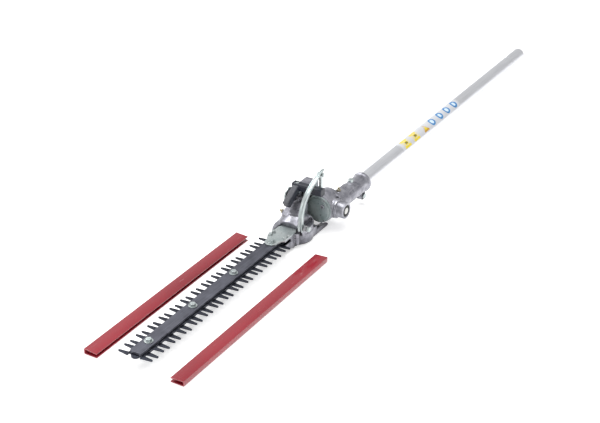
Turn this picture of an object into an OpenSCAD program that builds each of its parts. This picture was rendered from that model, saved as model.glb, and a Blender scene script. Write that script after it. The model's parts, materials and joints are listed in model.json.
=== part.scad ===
// Articulated pole hedge trimmer: a drive tube, an angle knuckle, a crank gear head
// and a pair of double-sided reciprocating blades, with two slip-on blade covers.
// X runs along the tube towards the blade tip, Z is up, and the origin is the centre
// of the tube's free end.

/* [Tube and drive] */
// Outer diameter of the drive tube
tube_od = 28; // [24:0.1:34]
// Wall of the drive tube
tube_wall = 1.5; // [1:0.1:2.5]
// Tube length from its free end to the rim of the knuckle's clamp
tube_reach = 738; // [400:1:1200]
// Length of tube seated in the clamp
tube_seat = 60; // [45:1:80]
// Distance of the insertion mark from the free end
mark_x = 60; // [40:1:90]
// Diameter of the drive shaft
shaft_d = 8; // [6:0.5:9]

/* [Knuckle] */
// Distance from the clamp rim to the swivel axis
knuckle_reach = 118; // [110:1:140]
// Wall of the clamp around the tube
clamp_wall = 3.5; // [3:0.1:6]
// Radius of the round knuckle housing
housing_r = 26; // [24:0.5:30]
// Radius of the cross hub
hub_r = 15; // [14:0.5:18]
// Height of the hub's end face above the tube axis, measured sideways
hub_end = 32; // [30:1:45]
// Radius of the index plate's notched rim
index_r = 38; // [37:0.5:39]

/* [Head] */
// Sideways offset of the blade centreline from the tube axis
head_side = 35; // [33:0.5:42]
// Drop from the tube axis to the top of the upper blade
head_drop = 17; // [16:0.5:18]
// Radius of the crank chamber
crank_case_r = 31; // [29.5:0.5:36]
// Height of the pivot block above the tube axis
block_top = 33; // [28:1:40]
// Wall of the castings
case_wall = 3; // [2.5:0.1:4]
// Drop from the tube axis to the flat underside of the head
sole_drop = 42; // [42:0.5:48]

/* [Blades] */
// Distance from the swivel axis to the blade tip
blade_reach = 545; // [450:1:900]
// Tooth pitch of one blade
tooth_pitch = 30; // [24:0.5:36]
// Teeth on each side of one blade
teeth = 14; // [8:1:15]
// Width over the tooth tips
blade_w = 66; // [56:1:80]
// Width of the blade's spine
spine_w = 27; // [24:0.5:34]
// Thickness of one blade
blade_t = 2; // [1.5:0.1:3]
// Width of the guide bar
bar_w = 23; // [18:0.5:26]
// Thickness of the guide bar
bar_t = 4; // [3:0.1:6]
// Throw of each eccentric, half the stroke of a blade
throw = 7.5; // [5:0.1:8]
// Number of guide bar screws
bar_screw_count = 4; // [3:1:5]

/* [Controls] */
// Width of the lock lever's strap
lever_w = 8; // [7.5:0.1:10]
// Thickness of the black handle bar
grip_t = 14; // [12:0.5:18]
// Length of the handle's forward arm
grip_arm = 44; // [35:1:60]

/* [Blade covers] */
// Length of each blade cover
cover_len = 435; // [300:1:600]
// Width of each blade cover
cover_w = 25; // [20:0.5:30]
// Height of a cover at its closed back
cover_h = 10; // [9:0.5:14]
// Wall of the blade covers
cover_wall = 1.6; // [1.2:0.1:2]
// Sideways distance from the blade centreline to a cover's middle
cover_side = 81; // [70:1:120]

/* [Hidden] */
$fn = 48;

casting = "#a9a9b4";
zinc = "#b9c4bf";
steel = "#8d9094";
blade_steel = "#4a4c55";
black = "#2a2b33";

// Clearances and small gaps
slip = 0.3;      // between parts that slide past each other
run = 0.05;      // radial running fit of shafts and pins
tube_r = tube_od / 2;
shaft_r = shaft_d / 2;

// Places of the main axes
hub_x = tube_reach + knuckle_reach;
blade_y = -head_side;
blade_z = -head_drop;
tip_x = hub_x + blade_reach;
joint_y = blade_y - 9.5;               // face between the knuckle and the head
lay_y = joint_y - 12.5;                // upright lay shaft
housing_y = joint_y + 29.5;            // middle of the round knuckle housing
sole_z = -sole_drop;
part_z = blade_z - 2 * blade_t - 0.6;  // parting plane of the head castings

// Gear train: module 1.5 spur gears on upright axes
gear_m = 1.5;
pinion_n = 12;
idler_n = 24;
crank_n = 32;
gear_t = 5;
gear_z = sole_z + case_wall + 1;
r_pin = gear_m * pinion_n / 2;
r_idl = gear_m * idler_n / 2;
r_crk = gear_m * crank_n / 2;
train = r_pin + 2 * r_idl + r_crk;
train_dy = blade_y - lay_y;
train_dx = sqrt(train * train - train_dy * train_dy);
train_a = atan2(train_dy, train_dx);
crank_x = hub_x + train_dx;
idler_x = hub_x + (r_pin + r_idl) * cos(train_a);
idler_y = lay_y + (r_pin + r_idl) * sin(train_a);

// Blade stack levels
bar_z = blade_z + slip;
lower_z = blade_z - 2 * blade_t - slip;
rod_t = 3;
ecc_r = throw + 5.5;
rod_len = 38;
rod_r = ecc_r + 3;
rod_half_w = 5;
rod_gap = 0.6;      // room kept round the rods, which travel parallel to themselves
eye_r = 7;
rod_u_z = blade_z + 0.4;
rod_l_z = lower_z - 0.4 - rod_t;
bar_back = crank_x + throw + rod_len + eye_r + 2;
screw_pitch = 4 * tooth_pitch;
screw_x0 = tip_x - 35;
nose_x = crank_x + 68;
nose_w = 38;
bush_r = 4;

// ---- helpers ----
// cylinder along X from the given point
module xcyl(r, h, at = [0, 0, 0]) {
    translate(at) rotate([0, 90, 0]) cylinder(r = r, h = h);
}
// cylinder along Y from the given point
module ycyl(r, h, at = [0, 0, 0]) {
    translate(at) rotate([-90, 0, 0]) cylinder(r = r, h = h);
}
// cylinder along Z from the given point
module zcyl(r, h, at = [0, 0, 0]) {
    translate(at) cylinder(r = r, h = h);
}
// box between two corners
module box(a, b) {
    translate(a) cube(b - a);
}
// ring along Z
module zring(ro, ri, h, at = [0, 0, 0]) {
    translate(at) difference() {
        cylinder(r = ro, h = h);
        translate([0, 0, -1]) cylinder(r = ri, h = h + 2);
    }
}
// flat outline in X and Z, extruded along Y from y0 over h
module side_plate_shape(y0, h) {
    translate([0, y0 + h, 0]) rotate([90, 0, 0]) linear_extrude(h) children();
}
// rectangle with round corners, drawn without offsetting
module round_rect(w, h, r) {
    square([w - 2 * r, h], center = true);
    square([w, h - 2 * r], center = true);
    for (sx = [-1, 1], sy = [-1, 1])
        translate([sx * (w / 2 - r), sy * (h / 2 - r)]) circle(r = r);
}
// hexagon-headed screw with its washer, pointing down from z = 0
module hex_screw(r, len, head_r, head_h, washer_r) {
    cylinder(r = washer_r, h = 1);
    translate([0, 0, 1]) cylinder(r = head_r, h = head_h, $fn = 6);
    translate([0, 0, -len]) cylinder(r = r, h = len + 1);
}
// toothed wheel outline with flat-sided teeth, tooth 0 centred on +X
module tooth_ring(n, m) {
    pitch_r = n * m / 2;
    step = 360 / n;
    circle(r = pitch_r - 1.25 * m);
    for (i = [0:n - 1])
        rotate(i * step)
            polygon([[pitch_r - 1.5 * m, -0.95 * m], [pitch_r, -0.68 * m],
                [pitch_r + 0.9 * m, -0.38 * m], [pitch_r + 0.9 * m, 0.38 * m],
                [pitch_r, 0.68 * m], [pitch_r - 1.5 * m, 0.95 * m]]);
}
// bevel wheel along +Z, big end at z = 0, teeth narrowing upwards
module bevel(n, r_big, face, back) {
    difference() {
        rotate_extrude()
            polygon([[0, -back], [r_big - 1, -back], [r_big, 0],
                [r_big - face, face], [0, face]]);
        for (i = [0:n - 1])
            rotate([0, 0, (i + 0.5) * 360 / n])
                translate([r_big - 0.9, 0, 0]) rotate([0, -45, 0])
                    translate([0, -0.8, -2]) cube([3, 1.6, 2 * face + 4]);
    }
}

// ---- tube and drive line ----
module drive_tube() {
    color("#d9dade") difference() {
        xcyl(tube_r, tube_reach + tube_seat);
        xcyl(tube_r - tube_wall, tube_reach + tube_seat + 2, [-1, 0, 0]);
        // insertion mark
        translate([mark_x, 0, 0]) rotate([0, 90, 0]) difference() {
            cylinder(r = tube_r + 1, h = 1);
            translate([0, 0, -1]) cylinder(r = tube_r - 0.4, h = 3);
        }
        // hole for the locating bolt
        translate([tube_reach + tube_seat - 14, 0, 0]) cylinder(r = 3, h = tube_r + 2);
    }
}

liner_l = 14;
liner_count = 4;
module shaft_liners() {
    color("#6b6660") for (i = [0:liner_count - 1])
        translate([tube_reach * (i + 0.5) / liner_count, 0, 0]) rotate([0, 90, 0])
            zring(tube_r - tube_wall, shaft_r + run, liner_l);
}

label_x = 336;                       // start of the strip of signs
label_len = 258;
module label_sleeve() {
    color("#e8e8ea") difference() {
        xcyl(tube_r + 0.15, label_len, [label_x, 0, 0]);
        xcyl(tube_r, label_len + 2, [label_x - 1, 0, 0]);
        // only the strip along the upper side is left
        box([label_x - 1, -tube_r - 1, -tube_r - 1],
            [label_x + label_len + 1, tube_r + 1, 0.35 * tube_r]);
    }
}

shaft_start = 6;
square_len = 22;
bevel_r = 8.2;
bevel_face = 4;
bevel_gap = bevel_r + 0.25;         // from the big end of a bevel wheel to the crossing of axes
shank_r = 5;
shank_l = 26;
shank_x = hub_x - bevel_gap - shank_l;
module drive_shaft() {
    color(steel) {
        xcyl(shaft_r, shank_x - shaft_start - square_len, [shaft_start + square_len, 0, 0]);
        box([shaft_start, -0.35 * shaft_d, -0.35 * shaft_d],
            [shaft_start + square_len, 0.35 * shaft_d, 0.35 * shaft_d]);
    }
}

module input_pinion() {
    color(steel) {
        translate([hub_x - bevel_gap, 0, 0]) rotate([0, 90, 0])
            bevel(12, bevel_r, bevel_face, 4);
        xcyl(shank_r, shank_l - 3, [shank_x, 0, 0]);
    }
}

bearing_r = 11;
module pinion_bearing() {
    color(steel) translate([hub_x - bevel_gap - 22, 0, 0]) rotate([0, 90, 0])
        zring(bearing_r, shank_r + run, 8);
}

// ---- knuckle ----
clamp_r = tube_r + clamp_wall;
boss_r = 17.5;
ear_x = tube_reach + 10;
ear_z = -clamp_r - 7;
slit_w = 2.4;
nipple_rise = 3.5;
housing_back = hub_x - 22;          // back face of the round housing
nipple_x = housing_back - 4.6;      // the nipple's hexagon stays behind the housing
cover_screw_angles = [-60, 60, 150, 210];
module upper_case() {
    color(casting) difference() {
        union() {
            xcyl(clamp_r, hub_x - 20 - tube_reach, [tube_reach, 0, 0]);
            // rim bead
            xcyl(clamp_r + 1.2, 5, [tube_reach, 0, 0]);
            // clamp ears
            box([ear_x - 8, -8, -clamp_r - 10], [ear_x + 8, 8, 0]);
            ycyl(8, 16, [ear_x, -8, ear_z]);
            // locating bolt and nipple bosses
            translate([tube_reach + tube_seat - 14, 0, 0]) cylinder(r = 6.5, h = clamp_r + 2);
            translate([nipple_x, 0, 0]) cylinder(r = 6, h = clamp_r + nipple_rise);
            // neck swelling into the housing
            translate([hub_x - 46, 0, 0]) rotate([0, 90, 0])
                rotate_extrude() polygon([[0, 0], [clamp_r - 0.5, 0],
                    [clamp_r + 2.5, 14], [clamp_r + 2.5, 34], [0, 34]]);
            // round housing, its front flange and cross hub
            xcyl(housing_r, 40, [housing_back, housing_y, 0]);
            xcyl(housing_r + 1.5, 5, [hub_x + 11, housing_y, 0]);
            ycyl(hub_r, hub_end, [hub_x, 0, 0]);
            ycyl(hub_r + 2.5, 14, [hub_x, 0, 0]);
            // web under the hub
            box([hub_x - 22, 0, -5], [hub_x, hub_end - 8, 5]);
            // swivel boss towards the head
            ycyl(boss_r, housing_y - joint_y, [hub_x, joint_y, 0]);
        }
        // tube socket and its slit
        xcyl(tube_r, tube_seat + 1, [tube_reach - 1, 0, 0]);
        box([tube_reach - 1, -slit_w / 2, -clamp_r - 12],
            [tube_reach + 38, slit_w / 2, 0]);
        ycyl(3, 40, [ear_x, -20, ear_z]);
        ycyl(6, 6, [ear_x, 6, ear_z]);
        // pinion bearing bore and gear chamber
        xcyl(bearing_r, hub_x - tube_reach - tube_seat + 1, [tube_reach + tube_seat - 1, 0, 0]);
        xcyl(housing_r - case_wall, 30, [hub_x - 11, housing_y, 0]);
        // cross bore through the hub and the swivel boss
        ycyl(bearing_r, hub_end + 1, [hub_x, 0, 0]);
        ycyl(bearing_r, housing_y - joint_y + 1, [hub_x, joint_y - 1, 0]);
        // threaded holes for the locating bolt and the nipple
        translate([tube_reach + tube_seat - 14, 0, 0]) cylinder(r = 3, h = clamp_r + 4);
        translate([nipple_x, 0, 0]) cylinder(r = 2.5, h = clamp_r + 6);
        // screw holes of the round cover
        for (a = cover_screw_angles)
            xcyl(1.7, 8, [hub_x + 13, housing_y + (housing_r - 2.6) * cos(a),
                (housing_r - 2.6) * sin(a)]);
    }
}

module clamp_bolt() {
    color(zinc) {
        ycyl(3, 21, [ear_x, -11, ear_z]);
        ycyl(5, 5, [ear_x, 6, ear_z]);
        translate([ear_x, -8, ear_z]) rotate([90, 0, 0]) cylinder(r = 5.5, h = 4.5, $fn = 6);
    }
}

module locating_bolt() {
    color(zinc) translate([tube_reach + tube_seat - 14, 0, 0]) {
        translate([0, 0, tube_r - 1]) cylinder(r = 3, h = clamp_wall + 4);
        translate([0, 0, clamp_r + 2]) cylinder(r = 5, h = 5);
    }
}

// grease nipple standing on +Z
module nipple() {
    translate([0, 0, -3]) cylinder(r = 2.5, h = 3);
    cylinder(r = 4, h = 3, $fn = 6);
    translate([0, 0, 3]) cylinder(r = 1.8, h = 2);
    translate([0, 0, 5.4]) sphere(r = 2, $fn = 24);
}

module knuckle_nipple() {
    color("#b99a4a") translate([nipple_x, 0, clamp_r + nipple_rise]) nipple();
}

module hub_seal() {
    color(black) difference() {
        ycyl(bearing_r, 2.6, [hub_x, hub_end - 3, 0]);
        ycyl(6, 5, [hub_x, hub_end - 4, 0]);
    }
}

module hub_plug() {
    color("#e6e6e2") {
        ycyl(6, 2.8, [hub_x, hub_end - 3, 0]);
        ycyl(4.4, 1, [hub_x, hub_end - 0.4, 0]);
    }
}

bearing_t = 8;
module cross_bearings() {
    color(steel) for (y = [hub_end - 4 - bearing_t, joint_y + 4])
        difference() {
            ycyl(bearing_r, bearing_t, [hub_x, y, 0]);
            ycyl(shaft_r + run, bearing_t + 2, [hub_x, y - 1, 0]);
        }
}

module cross_shaft() {
    color(steel) ycyl(shaft_r, hub_end - 4.5 - (joint_y - 5), [hub_x, joint_y - 5, 0]);
}

module cross_gears() {
    color(steel) difference() {
        union() {
            translate([hub_x, bevel_gap, 0]) rotate([90, 0, 0])
                bevel(12, bevel_r, bevel_face, 4);
            translate([hub_x, lay_y + bevel_gap, 0]) rotate([90, 0, 0])
                bevel(12, bevel_r, bevel_face, 3);
        }
        ycyl(shaft_r, hub_end - joint_y + 20, [hub_x, joint_y - 15, 0]);
    }
}

cover_t = 3.5;
module joint_cover() {
    color(zinc) difference() {
        union() {
            xcyl(housing_r, cover_t, [hub_x + 18, housing_y, 0]);
            xcyl(housing_r - 4, 1.2, [hub_x + 18 + cover_t, housing_y, 0]);
            xcyl(3.4, 5, [hub_x + 18, housing_y + 10, 9]);
        }
        xcyl(1.5, 9, [hub_x + 17, housing_y + 10, 9]);
        for (a = cover_screw_angles)
            xcyl(2.1, 9, [hub_x + 17, housing_y + (housing_r - 2.6) * cos(a),
                (housing_r - 2.6) * sin(a)]);
    }
}
module cover_screws() {
    color(steel) for (a = cover_screw_angles)
        translate([hub_x, housing_y + (housing_r - 2.6) * cos(a), (housing_r - 2.6) * sin(a)]) {
            xcyl(1.6, 8, [13.6, 0, 0]);
            xcyl(2.1, 1, [18 + cover_t - 0.9, 0, 0]);
        }
}

// Index plate: a round plate with a larger notched rim, one notch each step of the swivel
index_t = 4;
index_hub_r = 31;
index_step = 15;
swivel_down = 2;                    // steps the blades can swing down
swivel_up = 4;                      // steps the blades can swing up
pawl_a = 52;
bar_r = 3;
rim_gap = 1;                        // lock bar's centre beyond the rim
module index_plate() {
    color(zinc) difference() {
        union() {
            ycyl(index_hub_r, index_t, [hub_x, joint_y + 0.6, 0]);
            intersection() {
                ycyl(index_r, index_t, [hub_x, joint_y + 0.6, 0]);
                rotate_about_hub(pawl_a + (swivel_up - swivel_down) * index_step / 2)
                    side_plate_shape(joint_y, 10) rim_wedge();
            }
        }
        ycyl(boss_r + 0.2, index_t + 2, [hub_x, joint_y - 0.4, 0]);
        // relief for the round housing
        xcyl(housing_r + 1.8, 60, [hub_x - 30, housing_y, 0]);
        for (i = [-swivel_down:swivel_up])
            rotate_about_hub(pawl_a + i * index_step)
                ycyl(bar_r + slip, index_t + 2, [index_r + rim_gap, joint_y - 0.4, 0]);
        for (a = index_screw_angles)
            rotate_about_hub(a) ycyl(2, index_t + 2, [26, joint_y - 0.4, 0]);
    }
}
// wedge that bounds the notched rim
module rim_wedge() {
    half = (swivel_up + swivel_down) * index_step / 2 + 6;
    reach = 2 * index_r;
    polygon([[0, 0], [reach, -reach * tan(half)], [reach, reach * tan(half)]]);
}
index_screw_angles = [200, 250, 300];

// children turn in the X-Z plane about the swivel axis, a degrees from +X towards +Z
module rotate_about_hub(a) {
    translate([hub_x, 0, 0]) rotate([0, -a, 0]) children();
}

module index_screws() {
    color(steel) for (a = index_screw_angles)
        rotate_about_hub(a) ycyl(2, index_t, [26, joint_y + 0.6, 0]);
}

// ---- gear head ----
swing_r = max(housing_r + 10, index_r + 0.8);  // space kept free round the swivel axis
wall_x = hub_x + 38;                // front wall that closes the head beside the knuckle
roof_z = -index_hub_r - 0.7;        // roof of the gear chamber under the index plate
nose_floor = part_z - 7;
rail_y = blade_y + 27;
rail_back = hub_x - 2;
chamber_r = crank_case_r - case_wall;

// plan of the gear and rod chamber, grown by g
module chamber_plan(g) {
    translate([hub_x, lay_y]) circle(r = 11 + g);
    translate([idler_x, idler_y]) circle(r = r_idl + 2.2 + g);
    translate([crank_x, blade_y]) circle(r = chamber_r + g);
    translate([hub_x, lay_y - 11 - g]) square([idler_x - hub_x, 22 + 2 * g]);
    translate([idler_x, idler_y - r_idl - 2.2 - g]) square([crank_x - idler_x, 14]);
    translate([crank_x, blade_y - nose_w / 2 + case_wall - g])
        square([nose_x - case_wall - crank_x + g, nose_w - 2 * case_wall + 2 * g]);
}

// the part of the plan that lies under the knuckle
module under_knuckle(h) {
    box([hub_x - 60, joint_y, -h], [wall_x, blade_y + 60, h]);
}

sole_edge = 1.5;                    // step round the underside of the tray
case_screw_x = crank_x + 32;
case_screw_dy = nose_w / 2 + 1;
case_screw_r = 2.6;
case_seat_z = sole_z + 10;
module case_tray() {
    color(casting) difference() {
        union() {
            difference() {
                union() {
                    translate([0, 0, sole_z + sole_edge])
                        linear_extrude(part_z - sole_z - sole_edge) chamber_plan(case_wall);
                    translate([0, 0, sole_z]) linear_extrude(sole_edge)
                        chamber_plan(case_wall - 1);
                }
                // sloping underside of the nose
                side_plate_shape(blade_y - nose_w, 2 * nose_w)
                    polygon([[crank_x + chamber_r, sole_z - 1], [nose_x + 1, sole_z - 1],
                        [nose_x + 1, nose_floor], [nose_x, nose_floor],
                        [crank_x + chamber_r + 6, sole_z]]);
            }
            left_flank(sole_z + 6, part_z);
            for (s = [-1, 1])
                zcyl(5, part_z - sole_z - 7, [case_screw_x, blade_y + s * case_screw_dy, sole_z + 7]);
            // arm that runs back beside the knuckle
            box([rail_back, rail_y - 15, sole_z], [crank_x, rail_y, part_z - 2]);
            zcyl(5, 12, [rail_back, rail_y - 5, sole_z]);
        }
        // gear level, then the level above it where no knuckle swings
        translate([0, 0, gear_z - 0.6]) linear_extrude(gear_t + 1.2)
            intersection() {
                chamber_plan(0);
                translate([hub_x - 40, blade_y - 60]) square([crank_x + chamber_r - hub_x + 40, 120]);
            }
        difference() {
            translate([0, 0, gear_z + gear_t]) linear_extrude(40) intersection() {
                chamber_plan(0);
                translate([hub_x - 40, blade_y - 60]) square([crank_x + chamber_r - hub_x + 40, 120]);
            }
            under_knuckle(60);
        }
        translate([0, 0, nose_floor + case_wall]) linear_extrude(40)
            translate([crank_x, blade_y - nose_w / 2 + case_wall])
                square([nose_x - crank_x + 2, nose_w - 2 * case_wall]);
        // room for the knuckle
        intersection() {
            under_knuckle(60);
            box([hub_x - 60, joint_y - 1, roof_z], [wall_x + 1, blade_y + 61, 0]);
        }
        ycyl(swing_r + 1, 60, [hub_x, housing_y - 14, 0]);
        // pocket in the arm
        box([rail_back + 6, rail_y - 11, sole_z + 4], [crank_x - 30, rail_y - 3, 0]);
        // lower bearing seats, idler pin and nose screws
        zcyl(bush_seat_r, 8, [crank_x, blade_y, sole_z + 1.2]);
        zcyl(bush_seat_r, 8, [hub_x, lay_y, sole_z + 1.2]);
        zcyl(idler_pin_r, 8, [idler_x, idler_y, sole_z + 1]);
        for (s = [-1, 1]) {
            zcyl(case_screw_r, 40, [case_screw_x, blade_y + s * case_screw_dy, sole_z]);
            zcyl(4.4, case_seat_z - sole_z + 1, [case_screw_x, blade_y + s * case_screw_dy, sole_z - 1]);
        }
    }
}
// bulge of both castings on the left of the nose, between two levels
module left_flank(z0, z1) {
    translate([0, 0, z0]) linear_extrude(z1 - z0)
        polygon([[crank_x, blade_y - crank_case_r], [crank_x + 26, blade_y - crank_case_r + 1],
            [crank_x + 40, blade_y - crank_case_r + 5], [nose_x - 15, blade_y - nose_w / 2],
            [nose_x - 15, blade_y - nose_w / 2 + 2], [crank_x, blade_y - nose_w / 2 + 2]]);
}
bush_seat_r = 8;
idler_pin_r = 4;

module case_screws() {
    color(zinc) for (s = [-1, 1])
        translate([case_screw_x, blade_y + s * case_screw_dy, 0]) {
            zcyl(case_screw_r, part_z + 6 - case_seat_z, [0, 0, case_seat_z]);
            zcyl(4, 2.6, [0, 0, case_seat_z - 2.6]);
        }
}

cheek_y = blade_y + 7;              // right side of the head's upright part
gear_bay_top = 16;
module gear_case() {
    color(casting) union() {
        case_body();
        difference() {
            lever_lug();
            // room for the rods
            zcyl(throw + rod_r + 1, rod_u_z + rod_t + 0.6 - part_z + 1,
                [crank_x, blade_y, part_z - 1]);
        }
    }
}
module case_body() {
    difference() {
        union() {
            // pivot block beside the knuckle
            side_plate_shape(joint_y - 24, 23.4)
                translate([hub_x + 7, (block_top + part_z) / 2])
                    round_rect(74, block_top - part_z, 7);
            box([hub_x - 22, joint_y - 24, part_z], [wall_x + 6, joint_y - 0.6, part_z + 8]);
            // front wall
            box([wall_x, joint_y - 24, part_z], [wall_x + 6, cheek_y, block_top - 4]);
            // ribs on the front wall
            for (y = [joint_y - 18:9:cheek_y - 2])
                box([wall_x, y, part_z], [wall_x + 8.5, y + 3, block_top - 7]);
            // floor over the tray in front of the wall
            translate([0, 0, part_z]) linear_extrude(case_wall) difference() {
                chamber_plan(case_wall);
                translate([hub_x - 60, joint_y - 0.6]) square([wall_x - hub_x + 60, 90]);
            }
            // crank chamber and its dome
            zcyl(crank_case_r, dome_z - part_z, [crank_x, blade_y, part_z]);
            translate([crank_x, blade_y, dome_z]) rotate_extrude()
                polygon([[0, 0], [crank_case_r, 0], [crank_case_r - 3, 4],
                    [crank_case_r - 11, 9], [13, 14], [0, 14]]);
            // sloping back of the dome, up to the front wall
            side_plate_shape(blade_y - 24, 32)
                polygon([[wall_x, part_z], [crank_x + 12, part_z], [crank_x + 12, dome_z + 10],
                    [wall_x + 14, block_top - 12], [wall_x, block_top - 8]]);
            left_flank(part_z, -9);
            for (s = [-1, 1])
                zcyl(5, 8, [case_screw_x, blade_y + s * case_screw_dy, part_z]);
            // nose
            box([crank_x, blade_y - nose_w / 2, part_z], [nose_x, nose_right, bar_z + bar_t]);
            nipple_place() cylinder(r = 5, h = 10);
        }
        // cross gear bay and lay shaft bore
        ycyl(9.6, 20, [hub_x, joint_y - 12, 0]);
        zcyl(10, gear_bay_top - part_z + 1, [hub_x, lay_y, part_z - 1]);
        // rod chamber
        zcyl(throw + rod_r + 1, rod_u_z + rod_t + 0.6 - part_z + 1, [crank_x, blade_y, part_z - 1]);
        box([crank_x, blade_y - rod_half_w - throw - rod_gap, part_z - 1],
            [crank_x + rod_len, blade_y + rod_half_w + throw + rod_gap, rod_u_z + rod_t + rod_gap]);
        zcyl(throw + eye_r + rod_gap, bar_z + bar_t + 1 - part_z + 1,
            [crank_x + rod_len, blade_y, part_z - 1]);
        box([crank_x + rod_len, blade_y - rod_half_w - throw, part_z - 1],
            [bar_back + 1, blade_y + rod_half_w + throw, rod_u_z + rod_t]);
        // slot for the blades and the guide bar, open to both sides at the rearmost teeth
        box([bar_back - 2 * throw - 1, blade_y - spine_w / 2 - 0.8, part_z - 1],
            [nose_x + 1, blade_y + spine_w / 2 + 0.8, bar_z]);
        box([nose_x - 19, blade_y - nose_w, part_z - 1], [nose_x + 1, blade_y + nose_w, bar_z]);
        // seat of the bracket, and the flat beside it
        box([bracket_back - 0.3, blade_y - bracket_w / 2 - 0.3, bar_z + bar_t],
            [nose_x + 1, nose_right + 20, dome_z + 40]);
        box([wall_x + 9, min(nose_right, lever_y - lever_w / 2 - bolt_head - bolt_gap),
            lever_pz - foot_r - 0.4], [nose_x, lever_y + 30, dome_z + 40]);
        box([bar_back, blade_y - bar_w / 2 - 0.2, part_z - 1],
            [nose_x + 1, blade_y + bar_w / 2 + 0.2, bar_z + bar_t + 1]);
        // upper crank bearing seat
        zcyl(bearing_r, 8, [crank_x, blade_y, rod_u_z + rod_t]);
        // swivel clearance
        ycyl(swing_r, 60, [hub_x, joint_y - 0.5, 0]);
        // screw holes of the bracket, the handle, the side plate, the tray and the nipple
        for (x = bracket_bolt_x, s = [-1, 1])
            zcyl(2.4, 12, [x, blade_y + s * bracket_bolt_dy, bar_z + bar_t - 8]);
        zcyl(2.6, 20, [grip_x, handle_bolt_y, block_top - 10]);
        ycyl(3.1, 14, [side_x, joint_y - 25, side_z]);
        for (s = [-1, 1])
            zcyl(case_screw_r, 7, [case_screw_x, blade_y + s * case_screw_dy, part_z - 1]);
        nipple_place() translate([0, 0, 5]) cylinder(r = 2.6, h = 6);
    }
}
// frame of the head's nipple: on the left of the dome, leaning outwards
module nipple_place() {
    translate([crank_x - 8, blade_y - 24, -6]) rotate([70, 0, 0]) children();
}
dome_z = -7;
bracket_bolt_x = [nose_x - 3.5, nose_x - 14];
bracket_bolt_dy = bar_w / 2 + 3.2;
nose_right = blade_y + bar_w / 2 + 6.5;

module head_nipple() {
    color("#b99a4a") nipple_place() translate([0, 0, 10]) nipple();
}

// lay shaft: upright shaft with a bevel at the top and a pinion at the bottom
lay_r = 4;
module lay_shaft() {
    color(steel) {
        translate([hub_x, lay_y, -bevel_gap]) bevel(12, bevel_r, bevel_face, 3);
        zcyl(lay_r, gear_bay_top - 2 - sole_z - 2, [hub_x, lay_y, sole_z + 2]);
        translate([hub_x, lay_y, gear_z]) rotate([0, 0, train_a])
            linear_extrude(gear_t) tooth_ring(pinion_n, gear_m);
    }
}

module lay_bearings() {
    color(steel) {
        zring(10, lay_r + run, 7, [hub_x, lay_y, gear_bay_top - 7.5]);
        zring(10, lay_r + run, 7, [hub_x, lay_y, part_z + 0.5]);
        zring(bush_seat_r, lay_r + run, 2.6, [hub_x, lay_y, sole_z + 1.2]);
    }
}

module idler_gear() {
    color(steel) translate([idler_x, idler_y, gear_z])
        rotate([0, 0, train_a + 180 + 180 / idler_n]) difference() {
            linear_extrude(gear_t) tooth_ring(idler_n, gear_m);
            translate([0, 0, -1]) cylinder(r = idler_pin_r + run, h = gear_t + 2);
            for (i = [0:5])
                rotate([0, 0, 60 * i]) zcyl(2.5, gear_t + 2, [10, 0, -1]);
        }
}

module idler_pin() {
    color(steel) {
        zcyl(idler_pin_r, gear_z + gear_t - sole_z - 1, [idler_x, idler_y, sole_z + 1]);
    }
}

crank_r = 5;
module crank() {
    color(steel) translate([crank_x, blade_y, 0]) {
        zcyl(crank_r, rod_u_z + rod_t + 7 - sole_z - 2, [0, 0, sole_z + 2]);
        translate([0, 0, gear_z])
            rotate([0, 0, train_a + 180 + (idler_n + crank_n) % 2 * 180 / crank_n])
                linear_extrude(gear_t) tooth_ring(crank_n, gear_m);
        zcyl(6.5, rod_l_z - 0.4 - gear_z, [0, 0, gear_z]);
        zcyl(ecc_r, rod_t + 0.6, [-throw, 0, rod_l_z - 0.3]);
        zcyl(6.5, rod_u_z - rod_l_z - rod_t, [0, 0, rod_l_z + rod_t]);
        zcyl(ecc_r, rod_t + 0.3, [throw, 0, rod_u_z - 0.2]);
    }
}

module crank_bearings() {
    color(steel) {
        zring(bearing_r, crank_r + run, 7, [crank_x, blade_y, rod_u_z + rod_t + 0.6]);
        zring(bush_seat_r, crank_r + run, 2.6, [crank_x, blade_y, sole_z + 1.2]);
    }
}

// connecting rod: big eye at the origin, small eye at +X
module rod() {
    difference() {
        union() {
            cylinder(r = rod_r, h = rod_t);
            translate([0, -rod_half_w, 0]) cube([rod_len, 2 * rod_half_w, rod_t]);
            translate([rod_len, 0, 0]) cylinder(r = eye_r, h = rod_t);
        }
        translate([0, 0, -1]) cylinder(r = ecc_r + run, h = rod_t + 2);
        for (x = [17, 23]) translate([x, 0, -1]) cylinder(r = 1.6, h = rod_t + 2);
    }
}

module upper_rod() {
    color(steel) translate([crank_x + throw, blade_y, rod_u_z]) rod();
}

module lower_rod() {
    color(steel) translate([crank_x - throw, blade_y, rod_l_z]) rod();
}

// ---- blades and guide bar ----
bar_screw_x = [for (i = [0:bar_screw_count - 1]) screw_x0 - i * screw_pitch];
tooth_root = 0.34 * tooth_pitch;
tooth_tip = 0.13 * tooth_pitch;
// one tooth on the +Y side, its tip centred on x = 0
module tooth() {
    y0 = spine_w / 2 - 1;
    y1 = blade_w / 2 - tooth_tip / 2;
    polygon([[-tooth_root / 2, y0], [tooth_root / 2, y0], [tooth_root / 2 - 1.2, y0 + 2.5],
        [tooth_tip / 2, y1], [-tooth_tip / 2, y1], [-tooth_root / 2 + 1.2, y0 + 2.5]]);
    translate([0, y1]) circle(r = tooth_tip / 2);
}

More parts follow.
